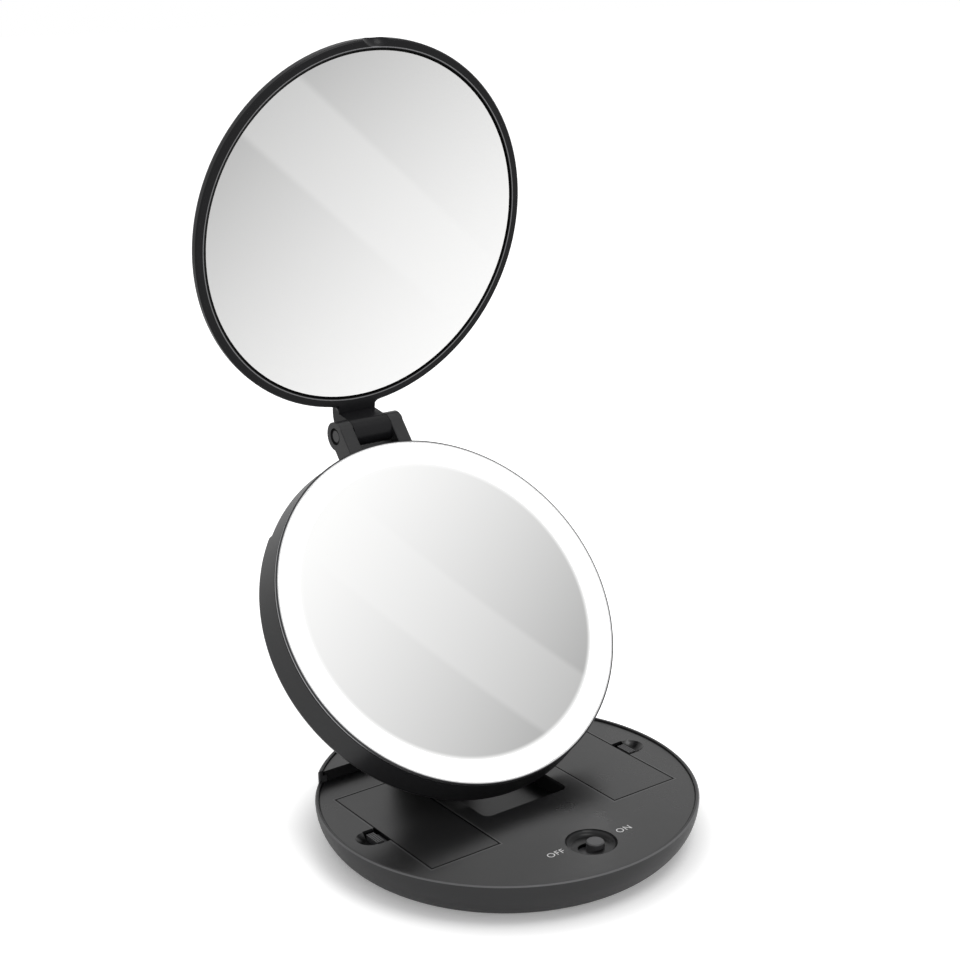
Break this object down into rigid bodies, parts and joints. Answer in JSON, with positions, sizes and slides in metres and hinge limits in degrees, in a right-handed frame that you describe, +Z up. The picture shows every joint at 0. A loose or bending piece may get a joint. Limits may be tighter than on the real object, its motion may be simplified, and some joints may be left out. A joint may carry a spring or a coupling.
{
  "type": "lighted folding travel mirror",
  "caption": "Round travel mirror: a battery base with sliding switch, a lit magnifying mirror on a folding arm, and a hinged mirror lid.",
  "frame": {"origin": "centre of the base's underside, on the non-slip pad's face", "axes": "+Z up, +Y to the rear, away from the user, +X to the user's right; along the hinge pins"},
  "size_m": [0.136, 0.1633, 0.2701],
  "materials": {
    "base_shell_plastic": "fine satin moulding, charcoal",
    "plate_plastic": "fine satin moulding, charcoal",
    "tray_plastic": "plain moulding, black",
    "grey_trim": "satin moulding, mid grey",
    "pad_rubber": "soft matt rubber",
    "cell_jacket": "printed foil jacket on a steel can",
    "contact_nickel": "nickel-plated spring steel",
    "screw_steel": "zinc-plated",
    "switch_metal": "stamped can",
    "switch_black": "plain moulding",
    "circuit_board": "glass-epoxy board",
    "hinge_steel": "ground steel",
    "arm_plastic": "satin moulding, near black",
    "disc_plastic": "half-gloss moulding, near black",
    "bezel_silver": "bright turned ring",
    "diffuser_white": "milky light-guiding plastic",
    "white_plastic": "plain white moulding",
    "led_phosphor": "phosphor on white chips",
    "mirror_glass": "silvered glass",
    "lid_plastic": "half-gloss moulding, black",
    "foam_tape": "double-sided foam tape"
  },
  "bodies": {
    "base": {"base_bottom_shell": "base_shell_plastic", "non_slip_pad": "pad_rubber", "base_top_plate": "plate_plastic", "battery_tray_left": "tray_plastic", "battery_tray_right": "tray_plastic", "battery_cells_left": "cell_jacket", "battery_cells_right": "cell_jacket", "battery_springs": "contact_nickel", "battery_contacts": "contact_nickel", "base_screws": "screw_steel", "switch_body": "switch_metal", "switch_board": "circuit_board", "arm_hinge_pin": "hinge_steel"},
    "left_door": {"battery_door_left": "plate_plastic"},
    "right_door": {"battery_door_right": "plate_plastic"},
    "left_latch": {"door_latch_left": "grey_trim"},
    "right_latch": {"door_latch_right": "grey_trim"},
    "switch_slider": {"switch_knob": "grey_trim", "switch_lever": "switch_black"},
    "arm": {"support_arm": "arm_plastic", "arm_cover": "arm_plastic"},
    "pin": {"tilt_pin": "hinge_steel"},
    "lit_mirror": {"disc_rear_housing": "disc_plastic", "disc_front_bezel": "bezel_silver", "light_diffuser_ring": "diffuser_white", "led_board": "white_plastic", "led_chips": "led_phosphor", "mirror_carrier": "white_plastic", "magnifying_mirror": "mirror_glass", "tilt_bracket": "arm_plastic", "bracket_screws": "screw_steel", "lid_hinge_pin": "hinge_steel"},
    "lid": {"lid_frame": "lid_plastic", "lid_mirror": "mirror_glass", "lid_mirror_pad": "foam_tape"}
  },
  "joints": [
    {"name": "arm_fold", "type": "hinge", "parent": "base", "child": "arm", "pos_m": [0, 0.04943, 0.0135], "axis": [1, 0, 0], "range_deg": [0, 87.24]},
    {"name": "tilt_pin_turn", "type": "hinge", "parent": "arm", "child": "pin", "pos_m": [0, 0.04555, 0.0628], "axis": [1, 0, 0], "range_deg": [-137.1, 0]},
    {"name": "disc_tilt", "type": "hinge", "parent": "pin", "child": "lit_mirror", "pos_m": [0, 0.04555, 0.0628], "axis": [1, 0, 0], "range_deg": [-50, 0]},
    {"name": "lid_hinge", "type": "hinge", "parent": "lit_mirror", "child": "lid", "pos_m": [0, 0.08524, 0.12769], "axis": [1, 0, 0], "range_deg": [-49.5, 130.5]},
    {"name": "switch_slide", "type": "slide", "parent": "base", "child": "switch_slider", "axis": [1, 0, 0], "range_m": [-0.0033, 0]},
    {"name": "left_door_open", "type": "hinge", "parent": "base", "child": "left_door", "pos_m": [-0.0249, 0.0006, 0.0144], "axis": [0, -1, 0], "range_deg": [-28, 0]},
    {"name": "right_door_open", "type": "hinge", "parent": "base", "child": "right_door", "pos_m": [0.0249, 0.0006, 0.0144], "axis": [0, 1, 0], "range_deg": [-28, 0]},
    {"name": "left_latch_press", "type": "slide", "parent": "left_door", "child": "left_latch", "axis": [-1, 0, 0], "range_m": [-0.0012, 0], "stiffness_N_per_m": 400, "springref_m": 0.0005},
    {"name": "right_latch_press", "type": "slide", "parent": "right_door", "child": "right_latch", "axis": [1, 0, 0], "range_m": [-0.0012, 0], "stiffness_N_per_m": 400, "springref_m": 0.0005}
  ],
  "couplings": [
    {"joint": "tilt_pin_turn", "follows": "arm_fold", "ratio": -1.5714}
  ]
}
